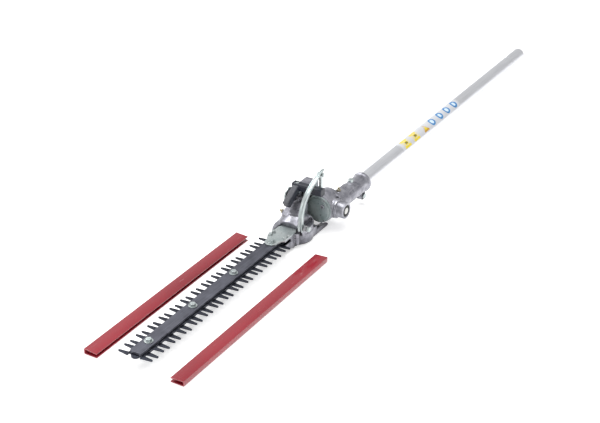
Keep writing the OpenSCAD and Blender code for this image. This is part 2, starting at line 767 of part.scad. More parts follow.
// blade: teeth staggered by half a pitch from side to side
// left_lead puts the leading tooth on the -Y side
module blade(left_lead, tail, stroke_dir) {
    front = tip_x + 7;
    difference() {
        translate([0, blade_y, 0]) linear_extrude(blade_t) difference() {
            union() {
                translate([bar_back + 1, -spine_w / 2]) square([front - 8 - bar_back - 1, spine_w]);
                translate([front - 8, 0]) circle(r = spine_w / 2 - 6);
                translate([tail, -9]) square([bar_back + 2 - tail, 18]);
                for (i = [0:teeth - 1]) {
                    lead = tip_x - i * tooth_pitch;
                    translate([lead - (left_lead ? 0 : tooth_pitch / 2), 0])
                        mirror([0, 1]) tooth();
                    translate([lead - (left_lead ? tooth_pitch / 2 : 0), 0]) tooth();
                }
            }
            // slots that run on the bushes of the guide bar
            for (x = bar_screw_x)
                translate([x, 0]) {
                    x0 = stroke_dir > 0 ? -2 * throw : 0;
                    translate([x0, -bush_r - 0.15]) square([2 * throw, 2 * bush_r + 0.3]);
                    for (dx = [x0, x0 + 2 * throw])
                        translate([dx, 0]) circle(r = bush_r + 0.15);
                }
            // wrist pin hole
            translate([tail + 8, 0]) circle(r = 3.8);
        }
    }
}

upper_tail = crank_x + throw + rod_len - 8;
lower_tail = crank_x - throw + rod_len - 8;
module upper_blade() {
    color(blade_steel) translate([0, 0, blade_z - blade_t]) blade(false, upper_tail, -1);
}

module lower_blade() {
    color(blade_steel) translate([0, 0, lower_z]) blade(true, lower_tail, 1);
}

module guide_bar() {
    color("#63656f") difference() {
        translate([0, blade_y, bar_z]) linear_extrude(bar_t) {
            translate([bar_back, -bar_w / 2]) square([tip_x - 4 - bar_back, bar_w]);
            translate([tip_x - 8, -bar_w / 2 + 4]) square([8, bar_w - 8]);
            for (s = [-1, 1])
                translate([tip_x - 4, s * (bar_w / 2 - 4)]) circle(r = 4);
        }
        for (x = bar_screw_x) zcyl(3, 40, [x, blade_y, bar_z - 20]);
    }
}

module bar_screws() {
    color(zinc) for (x = bar_screw_x)
        translate([x, blade_y, screw_seat(x)])
            hex_screw(3, screw_seat(x) - lower_z + 5, 5.2, 4, 7.5);
}
// the rearmost screw also holds the bracket
function screw_seat(x) = bar_z + bar_t + (x < bracket_front ? bracket_t : 0);

module bar_bushes() {
    color(steel) for (x = bar_screw_x)
        zring(bush_r, 3, bar_z - lower_z + 0.3, [x, blade_y, lower_z - 0.3]);
}

module bar_nuts() {
    color(zinc) for (x = bar_screw_x) translate([x, blade_y, lower_z - 0.3]) difference() {
        mirror([0, 0, 1]) union() {
            cylinder(r = 7.5, h = 1.2);
            translate([0, 0, 1.2]) cylinder(r = 5.5, h = 3.2, $fn = 6);
        }
        translate([0, 0, -6]) cylinder(r = 3, h = 8);
    }
}

bracket_t = 2.5;
bracket_front = screw_x0 - (bar_screw_count - 1) * screw_pitch + 12;
bracket_back = crank_x + 25;
bracket_w = 2 * bracket_bolt_dy + 7.6;
module blade_bracket() {
    color(zinc) difference() {
        translate([0, blade_y, bar_z + bar_t]) linear_extrude(bracket_t) {
            translate([bracket_front - 12, 0]) circle(r = 12);
            polygon([[bracket_back, -bracket_w / 2 + 4], [bracket_back + 6, -bracket_w / 2],
                [nose_x, -bracket_w / 2], [bracket_front - 14, -11.5], [bracket_front - 14, 11.5],
                [nose_x, bracket_w / 2], [bracket_back + 6, bracket_w / 2],
                [bracket_back, bracket_w / 2 - 4]]);
        }
        for (x = bar_screw_x) zcyl(3, 20, [x, blade_y, bar_z]);
        for (x = bracket_bolt_x, s = [-1, 1])
            zcyl(2.4, 20, [x, blade_y + s * bracket_bolt_dy, bar_z]);
    }
}

module bracket_bolts() {
    color(zinc) for (x = bracket_bolt_x, s = [-1, 1])
        translate([x, blade_y + s * bracket_bolt_dy, bar_z + bar_t + bracket_t])
            hex_screw(2.4, 6, 3.4, 2.6, 3.8);
}

// ---- controls ----
lever_y = blade_y + 25.6;
lever_px = 88;
lever_pz = -4.2;
lever_t = 2;
flange_t = 1.2;
flange_w = 8;
foot_r = 6;
bolt_head = 3.4;      // the pivot bolt's head beyond the strap
bolt_gap = 0.2;       // room beside that head
// centreline of the lever in X and Z from the swivel axis, t from 0 at the foot to 1 at the tip
function lever_at(t) = [
    pow(1 - t, 3) * 95.5 + 3 * pow(1 - t, 2) * t * 100 + 3 * (1 - t) * t * t * 76 + pow(t, 3) * 14,
    pow(1 - t, 3) * -10.2 + 3 * pow(1 - t, 2) * t * 42 + 3 * (1 - t) * t * t * 66 + pow(t, 3) * 82];
// unit normal of the centreline, on the inner side
function lever_n(t) = let (d = lever_at(t + 0.01) - lever_at(t - 0.01)) [-d[1], d[0]] / norm(d);
lever_steps = 20;
// strip between two offsets of the centreline
module lever_strip(o1, o2, t1 = 0) {
    ts = [for (i = [0:lever_steps]) t1 + (1 - t1) * i / lever_steps];
    polygon(concat([for (t = ts) lever_at(t) + o1 * lever_n(t)],
        [for (i = [lever_steps:-1:0]) lever_at(ts[i]) + o2 * lever_n(ts[i])]));
}

module lock_lever() {
    color(zinc) difference() {
        union() {
            // web of the channel and its two flanges
            side_plate_shape(lever_y - lever_w / 2, lever_w)
                translate([hub_x, 0]) lever_strip(0, lever_t);
            for (y = [lever_y - lever_w / 2, lever_y + lever_w / 2 - flange_t])
                side_plate_shape(y, flange_t) translate([hub_x, 0]) {
                    lever_strip(0, flange_w);
                    translate([lever_px, lever_pz]) circle(r = foot_r);
                }
        }
        ycyl(3 + run, 40, [hub_x + lever_px, lever_y - 20, lever_pz]);
        ycyl(2, 40, [hub_x + pawl_x, lever_y - 20, pawl_bolt_z]);
    }
}

lug_t = lever_w - 2 * flange_t - 2 * slip;
module lever_lug() {
    side_plate_shape(lever_y - lug_t / 2, lug_t) difference() {
        union() {
            translate([hub_x + lever_px, lever_pz]) circle(r = 4.6);
            polygon([[hub_x + lever_px - 26, part_z], [hub_x + lever_px, part_z],
                [hub_x + lever_px + 4, lever_pz - 2], [hub_x + lever_px - 4, lever_pz + 2]]);
        }
        translate([hub_x + lever_px, lever_pz]) circle(r = 3);
    }
}

module lever_bolt() {
    color(zinc) translate([hub_x + lever_px, lever_y, lever_pz]) {
        ycyl(3, lever_w + 12, [0, -lever_w / 2 - 3.5, 0]);
        translate([0, lever_w / 2 + 8, 0]) rotate([-90, 0, 0]) cylinder(r = 5, h = 4, $fn = 6);
        translate([0, -lever_w / 2 - 0.4, 0]) rotate([90, 0, 0])
            cylinder(r = 5, h = bolt_head - 0.4, $fn = 6);
    }
}

module lever_bush() {
    color(steel) difference() {
        ycyl(3.9, 7, [hub_x + lever_px, lever_y + lever_w / 2 + slip, lever_pz]);
        ycyl(3, 9, [hub_x + lever_px, lever_y + lever_w / 2, lever_pz]);
    }
}

spring_wire = 1.2;
spring_r = 4.9;
module lever_spring() {
    color(steel) translate([hub_x + lever_px, lever_y + lever_w / 2 + 1.2, lever_pz])
        rotate([-90, 0, 0]) for (i = [0:3])
            translate([0, 0, i * (spring_wire + 0.2)]) rotate_extrude()
                translate([spring_r, 0]) circle(r = spring_wire / 2);
}

pawl_x = 23;
pawl_t = 4;
pawl_bolt_z = 73.8;
module lock_pawl() {
    bar_at = (index_r + rim_gap) * [cos(pawl_a), sin(pawl_a)];
    color(zinc) {
        difference() {
            side_plate_shape(lever_y - pawl_t / 2, pawl_t) translate([hub_x, 0])
                polygon([[pawl_x - 4, 76.9], [pawl_x + 1, 76.9], [pawl_x + 4, 73],
                    [pawl_x + 2.5, 62], [pawl_x + 2.5, bar_at[1] + 11],
                    [bar_at[0] + 3, bar_at[1] + 4], [bar_at[0] + 3, bar_at[1] - 1.5],
                    bar_at + [0.6, -2.2], [bar_at[0] - 5, bar_at[1] + 2], [pawl_x - 4, bar_at[1] + 9]]);
            ycyl(2, 40, [hub_x + pawl_x, lever_y - 20, pawl_bolt_z]);
        }
        ycyl(bar_r, lever_y + pawl_t / 2 - joint_y - 0.6, [hub_x + bar_at[0], joint_y + 0.6, bar_at[1]]);
    }
}

module pawl_bolts() {
    color(zinc) translate([hub_x + pawl_x, lever_y, pawl_bolt_z]) {
        ycyl(2, lever_w + 4, [0, -lever_w / 2 - 2, 0]);
        translate([0, lever_w / 2, 0]) rotate([-90, 0, 0]) cylinder(r = 3.6, h = 2.6, $fn = 6);
        translate([0, -lever_w / 2, 0]) rotate([90, 0, 0]) cylinder(r = 3.6, h = 2.6, $fn = 6);
    }
}

// black handle: a bar across the head with an arm that slopes forward and down
grip_x = hub_x + 38;
grip_z = block_top + 7 + grip_t / 2;
grip_left = blade_y - 14;
grip_right = blade_y + 39;
grip_slope = 30;
module handle() {
    color(black) difference() {
        union() {
            translate([0, grip_right, 0]) rotate([90, 0, 0])
                linear_extrude(grip_right - grip_left + grip_t / 2 + 1)
                    translate([grip_x, grip_z]) round_rect(grip_t, grip_t, 3);
            translate([grip_x, grip_left, grip_z]) rotate([0, grip_slope, 0])
                rotate([0, 90, 0]) linear_extrude(grip_arm) round_rect(grip_t, grip_t, 3);
        }
        zcyl(2.6, 60, [grip_x, handle_bolt_y, block_top]);
        zcyl(4.4, 10, [grip_x, handle_bolt_y, grip_z + grip_t / 2 - 4]);
    }
}

handle_bolt_y = joint_y - 5;
module handle_clip() {
    color(zinc) difference() {
        box([grip_x - grip_t / 2 - 4, joint_y - 10.5, block_top],
            [wall_x + 4, joint_y - 1, grip_z - grip_t / 2]);
        // room for the sloping arm
        translate([grip_x, grip_left, grip_z]) rotate([0, grip_slope, 0])
            box([-grip_t, -grip_t, -grip_t / 2 - slip], [grip_arm, grip_t, grip_t]);
        zcyl(2.6, 60, [grip_x, handle_bolt_y, block_top - 20]);
    }
}

module handle_bolt() {
    color(zinc) translate([grip_x, handle_bolt_y, 0]) {
        zcyl(2.5, grip_z + grip_t / 2 - 4 - block_top + 8, [0, 0, block_top - 8]);
        zcyl(4, 3, [0, 0, grip_z + grip_t / 2 - 4]);
    }
}

side_r = 16;
side_x = hub_x + 34;
side_z = block_top - 13;
module side_plate() {
    color(zinc) difference() {
        union() {
            ycyl(side_r, 2.5, [side_x, joint_y - 24 - 2.5, side_z]);
            ycyl(5, 2, [side_x, joint_y - 24 - 4.5, side_z]);
        }
        ycyl(3, 20, [side_x, joint_y - 34, side_z]);
    }
}

module side_bolt() {
    color(steel) translate([side_x, joint_y - 28.5, side_z]) rotate([90, 0, 0])
        hex_screw(3, 12, 4.6, 2.4, 4.8);
}

// ---- blade covers ----
// channel section: back wall at -Y, mouth at +Y with a rounded lip
mouth_h = cover_h - 1.8;
module cover_section() {
    difference() {
        polygon([[-cover_w / 2, 0], [cover_w / 2, 0], [cover_w / 2, mouth_h],
            [-cover_w / 2, cover_h]]);
        polygon([[-cover_w / 2 + cover_wall, cover_wall], [cover_w / 2 + 1, cover_wall],
            [cover_w / 2 + 1, mouth_h - cover_wall],
            [-cover_w / 2 + cover_wall, cover_h - cover_wall]]);
    }
    translate([cover_w / 2 - 0.6, mouth_h - cover_wall + 0.9]) circle(r = 1.2);
}

module cover(front) {
    translate([front - cover_len, 0, sole_z]) rotate([90, 0, 90])
        linear_extrude(cover_len) cover_section();
}

module left_cover() {
    color("#b04a55") translate([0, blade_y - cover_side, 0]) cover(tip_x + 12);
}

module right_cover() {
    color("#b04a55") translate([0, blade_y + cover_side, 0]) mirror([0, 1, 0]) cover(tip_x + 3);
}

drive_tube();
shaft_liners();
label_sleeve();
drive_shaft();
input_pinion();
pinion_bearing();
upper_case();
clamp_bolt();
locating_bolt();
knuckle_nipple();
hub_seal();
hub_plug();
cross_bearings();
cross_shaft();
cross_gears();
joint_cover();
cover_screws();
index_plate();
index_screws();
gear_case();
case_tray();
case_screws();
head_nipple();
lay_bearings();
lay_shaft();
idler_gear();
idler_pin();
crank();
crank_bearings();
upper_rod();
lower_rod();
blade_bracket();
bracket_bolts();
guide_bar();
bar_screws();
bar_bushes();
bar_nuts();
upper_blade();
lower_blade();
lock_lever();
lever_bolt();
lever_bush();
lever_spring();
lock_pawl();
pawl_bolts();
handle();
handle_clip();
handle_bolt();
side_plate();
side_bolt();
left_cover();
right_cover();
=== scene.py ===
import json
import math
import bpy
import bmesh
from mathutils import Vector, Matrix


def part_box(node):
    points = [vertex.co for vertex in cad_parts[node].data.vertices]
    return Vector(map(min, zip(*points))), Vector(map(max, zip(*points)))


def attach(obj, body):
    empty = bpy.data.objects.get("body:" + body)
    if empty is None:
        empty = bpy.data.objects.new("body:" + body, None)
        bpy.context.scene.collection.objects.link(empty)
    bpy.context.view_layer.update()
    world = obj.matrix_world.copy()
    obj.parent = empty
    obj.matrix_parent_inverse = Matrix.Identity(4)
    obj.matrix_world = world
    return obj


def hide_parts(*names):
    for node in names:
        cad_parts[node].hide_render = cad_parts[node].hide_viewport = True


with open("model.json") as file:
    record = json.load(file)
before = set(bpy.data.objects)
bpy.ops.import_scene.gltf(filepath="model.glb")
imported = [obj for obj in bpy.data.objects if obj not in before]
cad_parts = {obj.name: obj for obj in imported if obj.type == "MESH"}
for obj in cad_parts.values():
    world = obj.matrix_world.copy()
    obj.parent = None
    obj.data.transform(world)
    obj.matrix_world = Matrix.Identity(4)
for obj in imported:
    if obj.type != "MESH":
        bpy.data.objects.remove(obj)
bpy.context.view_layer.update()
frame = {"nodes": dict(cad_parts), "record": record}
NODES = frame["nodes"]
MM = 0.001


def centre(node):
    lo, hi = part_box(node)
    return (lo + hi) / 2


# ---------------------------------------------------------------- places taken from the CAD
tube_lo, tube_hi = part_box("drive_tube")
hub = centre("cross_shaft")
HUB_X = hub.x
blade_lo, blade_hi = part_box("upper_blade")
BLADE_Y = (blade_lo.y + blade_hi.y) / 2
FLOOR_Z = min(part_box("case_tray")[0].z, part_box("left_cover")[0].z)

# ---------------------------------------------------------------- camera, floor and light
scene = bpy.context.scene
cam_data = bpy.data.cameras.new("camera")
cam = bpy.data.objects.new("camera", cam_data)
scene.collection.objects.link(cam)
cam_data.sensor_width = 36.0
cam_data.lens = 82.8
cam_data.clip_end = 50
CAM_YAW, CAM_PITCH = math.radians(211.21), math.radians(28.70)
look = Vector((math.cos(CAM_YAW) * math.cos(CAM_PITCH),
               math.sin(CAM_YAW) * math.cos(CAM_PITCH), -math.sin(CAM_PITCH)))
cam.location = (2.7814, 1.0997, 1.2034)
cam.rotation_euler = look.to_track_quat("-Z", "Y").to_euler()
scene.camera = cam

world = bpy.data.worlds.new("studio")
scene.world = world
world.use_nodes = True
world.node_tree.nodes["Background"].inputs["Color"].default_value = (1, 1, 1, 1)
world.node_tree.nodes["Background"].inputs["Strength"].default_value = 0.62
scene.view_settings.view_transform = "Standard"
scene.view_settings.look = "None"


def area_light(name, place, target, size, power, colour=(1, 1, 1)):
    data = bpy.data.lights.new(name, "AREA")
    data.shape = "RECTANGLE"
    data.size, data.size_y = size
    data.energy = power
    data.color = colour
    o = bpy.data.objects.new(name, data)
    scene.collection.objects.link(o)
    o.location = place
    o.rotation_euler = (Vector(target) - Vector(place)).to_track_quat("-Z", "Y").to_euler()
    return o


TARGET = (0.95, -0.03, 0.0)
area_light("key", (0.6, -1.6, 2.0), TARGET, (1.2, 0.9), 36)
area_light("top", (0.9, 0.2, 2.6), TARGET, (1.8, 1.2), 24)
area_light("front", (3.2, 0.4, 1.1), TARGET, (1.0, 0.8), 12)

# ---------------------------------------------------------------- materials


class Shader:
    """A small builder for procedural materials on one principled shader."""

    def __init__(self, name):
        self.mat = bpy.data.materials.new(name)
        self.mat.use_nodes = True
        self.tree = self.mat.node_tree
        self.bsdf = self.tree.nodes["Principled BSDF"]
        self.tex = self.node("ShaderNodeTexCoord")

    def node(self, kind, **props):
        n = self.tree.nodes.new(kind)
        for key, value in props.items():
            setattr(n, key, value)
        return n

    def link(self, a, b):
        self.tree.links.new(a, b)

    def set(self, **values):
        for key, value in values.items():
            self.bsdf.inputs[key.replace("_", " ")].default_value = value

    def coords(self, scale=(1, 1, 1), rotation=(0, 0, 0)):
        m = self.node("ShaderNodeMapping")
        m.inputs["Scale"].default_value = scale
        m.inputs["Rotation"].default_value = rotation
        self.link(self.tex.outputs["Object"], m.inputs["Vector"])
        return m.outputs["Vector"]

    def noise(self, scale, detail=3.0, rough=0.55, stretch=(1, 1, 1), rotation=(0, 0, 0)):
        n = self.node("ShaderNodeTexNoise")
        n.inputs["Scale"].default_value = scale
        n.inputs["Detail"].default_value = detail
        n.inputs["Roughness"].default_value = rough
        self.link(self.coords(stretch, rotation), n.inputs["Vector"])
        return n.outputs["Fac"]

    def ramp(self, fac, stops):
        r = self.node("ShaderNodeValToRGB")
        e = r.color_ramp.elements
        while len(e) < len(stops):
            e.new(0.5)
        for el, (pos, col) in zip(e, stops):
            el.position = pos
            el.color = (*col, 1) if len(col) == 3 else (col[0],) * 3 + (1,)
        self.link(fac, r.inputs["Fac"])
        return r.outputs["Color"]

    def remap(self, fac, lo, hi, out_lo, out_hi):
        m = self.node("ShaderNodeMapRange")
        m.inputs["From Min"].default_value = lo
        m.inputs["From Max"].default_value = hi
        m.inputs["To Min"].default_value = out_lo
        m.inputs["To Max"].default_value = out_hi
        self.link(fac, m.inputs["Value"])
        return m.outputs["Result"]

    def mix(self, fac, a, b, blend="MIX"):
        m = self.node("ShaderNodeMix", data_type="RGBA", blend_type=blend)
        for sock, v in ((m.inputs["Factor"], fac), (m.inputs[6], a), (m.inputs[7], b)):
            if hasattr(v, "links") or hasattr(v, "is_linked"):
                self.link(v, sock)
            elif isinstance(v, (int, float)):
                sock.default_value = v
            else:
                sock.default_value = (*v, 1)
        return m.outputs[2]

    def math(self, op, a, b=None, clamp=False):
        m = self.node("ShaderNodeMath", operation=op, use_clamp=clamp)
        for sock, v in ((m.inputs[0], a), (m.inputs[1], b)):
            if v is None:
                continue
            if isinstance(v, (int, float)):
                sock.default_value = v
            else:
                self.link(v, sock)
        return m.outputs[0]

    def edges(self, radius, lo=0.02, hi=0.25):
        """1 on edges and corners, 0 on flats: how far a rounded normal leans from the face's own."""
        b = self.node("ShaderNodeBevel", samples=4)
        b.inputs["Radius"].default_value = radius
        g = self.node("ShaderNodeNewGeometry")
        d = self.node("ShaderNodeVectorMath", operation="DOT_PRODUCT")
        self.link(b.outputs["Normal"], d.inputs[0])
        self.link(g.outputs["Normal"], d.inputs[1])
        lean = self.math("SUBTRACT", 1.0, d.outputs["Value"])
        self.edge_normal = b.outputs["Normal"]
        return self.remap(lean, lo, hi, 0.0, 1.0)

    def bump(self, heights, distance=0.0002, normal=None):
        last = normal
        for height, strength in heights:
            b = self.node("ShaderNodeBump")
            b.inputs["Strength"].default_value = strength
            b.inputs["Distance"].default_value = distance
            self.link(height, b.inputs["Height"])
            if last is not None:
                self.link(last, b.inputs["Normal"])
            last = b.outputs["Normal"]
        self.link(last, self.bsdf.inputs["Normal"])

    def colour(self, socket):
        self.link(socket, self.bsdf.inputs["Base Color"])

    def rough(self, socket):
        self.link(socket, self.bsdf.inputs["Roughness"])


def cast_metal(name, base, dark, light, metallic=0.75, rough=(0.34, 0.52), grain=1.0):
    """Raw die-cast aluminium: cloudy tone, fine pitted grain, brighter worn edges, painted shade in the
    hollows.
    """
    s = Shader(name)
    cloud = s.noise(55, 4, 0.6)
    fine = s.noise(900, 3, 0.7)
    flow = s.noise(140, 3, 0.6, stretch=(1, 1, 2.6))
    col = s.ramp(cloud, [(0.30, dark), (0.52, base), (0.74, light)])
    col = s.mix(s.remap(flow, 0.45, 0.75, 0, 0.35), col, light)
    col = s.mix(s.remap(fine, 0.35, 0.75, 0.0, 0.22), col, dark)
    # painted shade: ambient occlusion darkens hollows and gaps between parts towards a near-black copy of
    # the dark tone
    ao = s.node("ShaderNodeAmbientOcclusion", samples=8)
    ao.inputs["Distance"].default_value = 0.022
    hollow_painted_shade = s.remap(ao.outputs["AO"], 0.25, 0.92, 1.0, 0.0)
    col = s.mix(hollow_painted_shade, col, tuple(0.18 * c for c in dark))
    wear = s.edges(0.0012, 0.03, 0.28)
    wear = s.math("MULTIPLY", wear, s.remap(s.noise(320, 2), 0.35, 0.7, 0.15, 0.8))
    col = s.mix(wear, col, tuple(min(1, 1.12 * c) for c in light))
    s.colour(col)
    s.set(Metallic=metallic, IOR=1.45)
    s.rough(s.remap(s.noise(260, 3), 0.3, 0.7, rough[0], rough[1]))
    s.bump([(cloud, 0.10 * grain), (flow, 0.14 * grain), (fine, 0.12 * grain)], 0.0003,
           s.edge_normal)
    return s.mat


def plated_metal(name, base, tint, rough=(0.16, 0.34), brush=None, metallic=1.0, dark=0.45,
                 edge=0.0009):
    """Zinc plated or ground steel: faint passivation tint, fine brushing, scratches, soft dents."""
    s = Shader(name)
    haze = s.noise(70, 4, 0.6)
    col = s.ramp(haze, [(0.32, tint), (0.55, base), (0.8, tuple(min(1, c * 1.08) for c in base))])
    stretch = brush or (1, 1, 1)
    lines = s.noise(700, 4, 0.65, stretch=stretch)
    col = s.mix(s.remap(lines, 0.3, 0.7, 0.0, 0.35), col, tuple(c * 0.72 for c in base))
    scratch = s.noise(120, 2, 0.5, stretch=(1, 14, 3), rotation=(0.2, 0.5, 0.7))
    thin = s.ramp(scratch, [(0.0, (0,)), (0.655, (0,)), (0.672, (1,)), (0.69, (0,)), (1.0, (0,))])
    col = s.mix(s.math("MULTIPLY", thin, 0.15), col, (0.9, 0.92, 0.9))
    # painted shade: ambient occlusion darkens recesses and gaps between parts towards near black, as
    # strongly as dark sets
    ao = s.node("ShaderNodeAmbientOcclusion", samples=8)
    ao.inputs["Distance"].default_value = 0.008
    recess_painted_shade = s.remap(ao.outputs["AO"], 0.35, 0.9, dark, 0.0)
    col = s.mix(recess_painted_shade, col, (0.05, 0.055, 0.06))
    wear = s.edges(edge, 0.03, 0.3)
    col = s.mix(s.math("MULTIPLY", wear, 0.35), col, (0.92, 0.94, 0.93))
    s.colour(col)
    s.set(Metallic=metallic)
    s.rough(s.remap(s.noise(180, 3, 0.6), 0.3, 0.7, rough[0], rough[1]))
    s.bump([(haze, 0.05), (lines, 0.03), (thin, 0.03)], 0.0002, s.edge_normal)
    return s.mat


def moulded(name, base, light, rough=(0.35, 0.55), grain=1500, strength=0.25, edge=0.0012):
    """Moulded plastic or rubber: fine spark texture, slightly polished and paler edges."""
    s = Shader(name)
    fine = s.noise(grain, 2, 0.6)
    cloud = s.noise(40, 3, 0.6)
    col = s.mix(s.remap(cloud, 0.3, 0.7, 0.0, 0.5), base, light)
    wear = s.edges(edge, 0.03, 0.3)
    rub = s.math("MULTIPLY", wear, s.remap(s.noise(200, 3), 0.3, 0.7, 0.2, 0.9))
    col = s.mix(rub, col, tuple(min(1, 2.2 * c + 0.02) for c in light))
    dust = s.remap(s.noise(420, 4, 0.7), 0.6, 0.8, 0.0, 0.12)
    col = s.mix(dust, col, (0.5, 0.5, 0.5))
    s.colour(col)
    s.rough(s.remap(fine, 0.3, 0.7, rough[0], rough[1]))
    s.bump([(cloud, 0.05), (fine, strength)], 0.00015, s.edge_normal)
    return s.mat


def tube_metal():
    """Satin anodised tube: fine lines drawn along its length, faint long bands."""
    s = Shader("tube_anodised")
    draw = s.noise(900, 3, 0.6, stretch=(0.02, 1, 1))
    band = s.noise(60, 2, 0.5, stretch=(0.05, 1, 1))
    cloud = s.noise(9, 3, 0.6)
    col = s.ramp(draw, [(0.3, (0.66, 0.67, 0.70)), (0.6, (0.74, 0.75, 0.78)), (0.8, (0.82, 0.83, 0.85))])
    col = s.mix(s.remap(band, 0.4, 0.7, 0.0, 0.3), col, (0.70, 0.71, 0.75))
    col = s.mix(s.remap(cloud, 0.5, 0.8, 0.0, 0.2), col, (0.93, 0.93, 0.95))
    s.edges(0.0006)
    s.colour(col)
    s.set(Metallic=0.85)
    s.rough(s.remap(draw, 0.3, 0.7, 0.30, 0.44))
    s.bump([(draw, 0.06), (band, 0.04)], 0.0001, s.edge_normal)
    return s.mat


def blade_metal():
    """Hardened blue-black blade: ground, bright hairline at the cutting edges, cross grinding marks."""
    s = Shader("blade_hardened")
    grind = s.noise(1300, 3, 0.6, stretch=(1, 0.06, 1))
    heat = s.noise(38, 3, 0.6)
    col = s.ramp(heat, [(0.3, (0.012, 0.014, 0.024)), (0.55, (0.022, 0.025, 0.038)),
                        (0.8, (0.040, 0.043, 0.060))])
    col = s.mix(s.remap(grind, 0.35, 0.7, 0.0, 0.35), col, (0.07, 0.075, 0.095))
    wear = s.edges(0.0007, 0.05, 0.32)
    col = s.mix(s.math("MULTIPLY", wear, 0.45), col, (0.34, 0.36, 0.42))
    s.colour(col)
    s.set(Metallic=0.8)
    s.rough(s.remap(grind, 0.3, 0.7, 0.28, 0.46))
    s.bump([(grind, 0.12), (heat, 0.05)], 0.0001, s.edge_normal)
    return s.mat


def bar_metal():
    """Phosphated guide bar: grey-violet top with rolled streaks, worn spots round the screws."""
    s = Shader("bar_phosphated")
    roll = s.noise(420, 4, 0.6, stretch=(0.05, 1, 1))
    cloud = s.noise(45, 4, 0.6)
    col = s.ramp(cloud, [(0.3, (0.050, 0.052, 0.068)), (0.55, (0.078, 0.080, 0.102)),
                         (0.8, (0.11, 0.114, 0.142))])
    col = s.mix(s.remap(roll, 0.4, 0.72, 0.0, 0.45), col, (0.145, 0.15, 0.18))
    wear = s.edges(0.0009, 0.05, 0.3)
    col = s.mix(s.math("MULTIPLY", wear, 0.4), col, (0.42, 0.44, 0.5))
    s.colour(col)
    s.set(Metallic=0.55)
    s.rough(s.remap(cloud, 0.3, 0.7, 0.36, 0.54))
    s.bump([(roll, 0.08), (cloud, 0.05)], 0.0001, s.edge_normal)
    return s.mat


def cover_plastic():
    """Glossy translucent red extrusion: draw lines along it, painted pink highlight along the edges, fine
    scuffs.
    """
    s = Shader("cover_red")
    draw = s.noise(700, 3, 0.55, stretch=(0.01, 1, 1))
    cloud = s.noise(14, 3, 0.5, stretch=(0.2, 1, 1))
    col = s.ramp(cloud, [(0.3, (0.24, 0.008, 0.018)), (0.55, (0.33, 0.014, 0.028)),
                         (0.8, (0.43, 0.028, 0.046))])
    # painted highlight: edges and corners lightened towards pink
    edge = s.edges(0.0012, 0.03, 0.35)
    col = s.mix(s.math("MULTIPLY", edge, 0.6), col, (0.86, 0.22, 0.27))
    scuff = s.noise(260, 4, 0.7, stretch=(0.2, 1, 1))
    col = s.mix(s.remap(scuff, 0.62, 0.8, 0.0, 0.2), col, (0.9, 0.55, 0.58))
    s.colour(col)
    s.set(Transmission_Weight=0.10, IOR=1.5, Coat_Weight=0.5, Coat_Roughness=0.05,
          Subsurface_Weight=0.05, Subsurface_Scale=0.003)
    s.bsdf.inputs["Subsurface Radius"].default_value = (1.0, 0.18, 0.12)
    s.rough(s.remap(draw, 0.3, 0.7, 0.16, 0.26))
    s.bump([(draw, 0.05), (cloud, 0.03)], 0.0001, s.edge_normal)
    return s.mat


M = {
    "tube": tube_metal(),
    "casting": cast_metal("casting_aluminium", (0.33, 0.33, 0.37), (0.17, 0.17, 0.20),
                          (0.58, 0.58, 0.63), rough=(0.26, 0.44), metallic=0.75),
    "zinc": plated_metal("zinc_plated", (0.56, 0.61, 0.61), (0.42, 0.49, 0.49), rough=(0.26, 0.42),
                         metallic=0.8, dark=0.6),
    "disc": plated_metal("zinc_disc", (0.40, 0.46, 0.46), (0.26, 0.33, 0.33), rough=(0.26, 0.44),
                         metallic=0.5),
    "steel": plated_metal("steel_ground", (0.52, 0.53, 0.55), (0.42, 0.43, 0.45),
                          rough=(0.22, 0.4)),
    "blade": blade_metal(),
    "bar": bar_metal(),
    "black": moulded("handle_black", (0.012, 0.015, 0.024), (0.026, 0.031, 0.047),
                     rough=(0.30, 0.46), grain=900, strength=0.12),
    "rubber": moulded("seal_rubber", (0.012, 0.012, 0.013), (0.02, 0.02, 0.021),
                      rough=(0.6, 0.8), grain=900),
    "white": moulded("plug_white", (0.72, 0.72, 0.70), (0.82, 0.82, 0.80), grain=1100,
                     strength=0.12),
    "liner": moulded("liner_grey", (0.10, 0.09, 0.085), (0.15, 0.14, 0.13)),
    "brass": plated_metal("nipple_brass", (0.40, 0.36, 0.24), (0.30, 0.26, 0.17),
                          rough=(0.2, 0.36)),
    "red": cover_plastic(),
    "sign_yellow": moulded("sign_yellow", (0.80, 0.62, 0.03), (0.88, 0.72, 0.06), rough=(0.25, 0.35),
                           strength=0.05),
    "sign_amber": moulded("sign_amber", (0.55, 0.30, 0.03), (0.65, 0.38, 0.05), rough=(0.25, 0.35),
                          strength=0.05),
    "sign_blue": moulded("sign_blue", (0.05, 0.22, 0.50), (0.08, 0.30, 0.60), rough=(0.25, 0.35),
                         strength=0.05),
    "sign_pale": moulded("sign_pale", (0.62, 0.76, 0.90), (0.72, 0.84, 0.94), rough=(0.25, 0.35),
                         strength=0.05),
    "sign_ink": moulded("sign_ink", (0.22, 0.18, 0.02), (0.30, 0.24, 0.03), rough=(0.3, 0.4),
                        strength=0.05),
    "label": moulded("label_film", (0.58, 0.59, 0.62), (0.66, 0.67, 0.70), rough=(0.3, 0.4),
                     strength=0.05),
}

BY_SLOT = {"tube": "tube", "casting": "casting", "zinc": "zinc", "steel": "steel",
           "blade_steel": "blade", "bar_steel": "bar", "black_plastic": "black",
           "red_plastic": "red", "rubber": "rubber", "white_plastic": "white",
           "brass": "brass", "liner_plastic": "liner", "label_film": "label"}
for part in frame["record"]["subparts"]:
    node_object = NODES[part["node"]]
    node_object.data.materials.clear()
    node_object.data.materials.append(M[BY_SLOT[part["material_slot"]]])
NODES["joint_cover"].data.materials[0] = M["disc"]

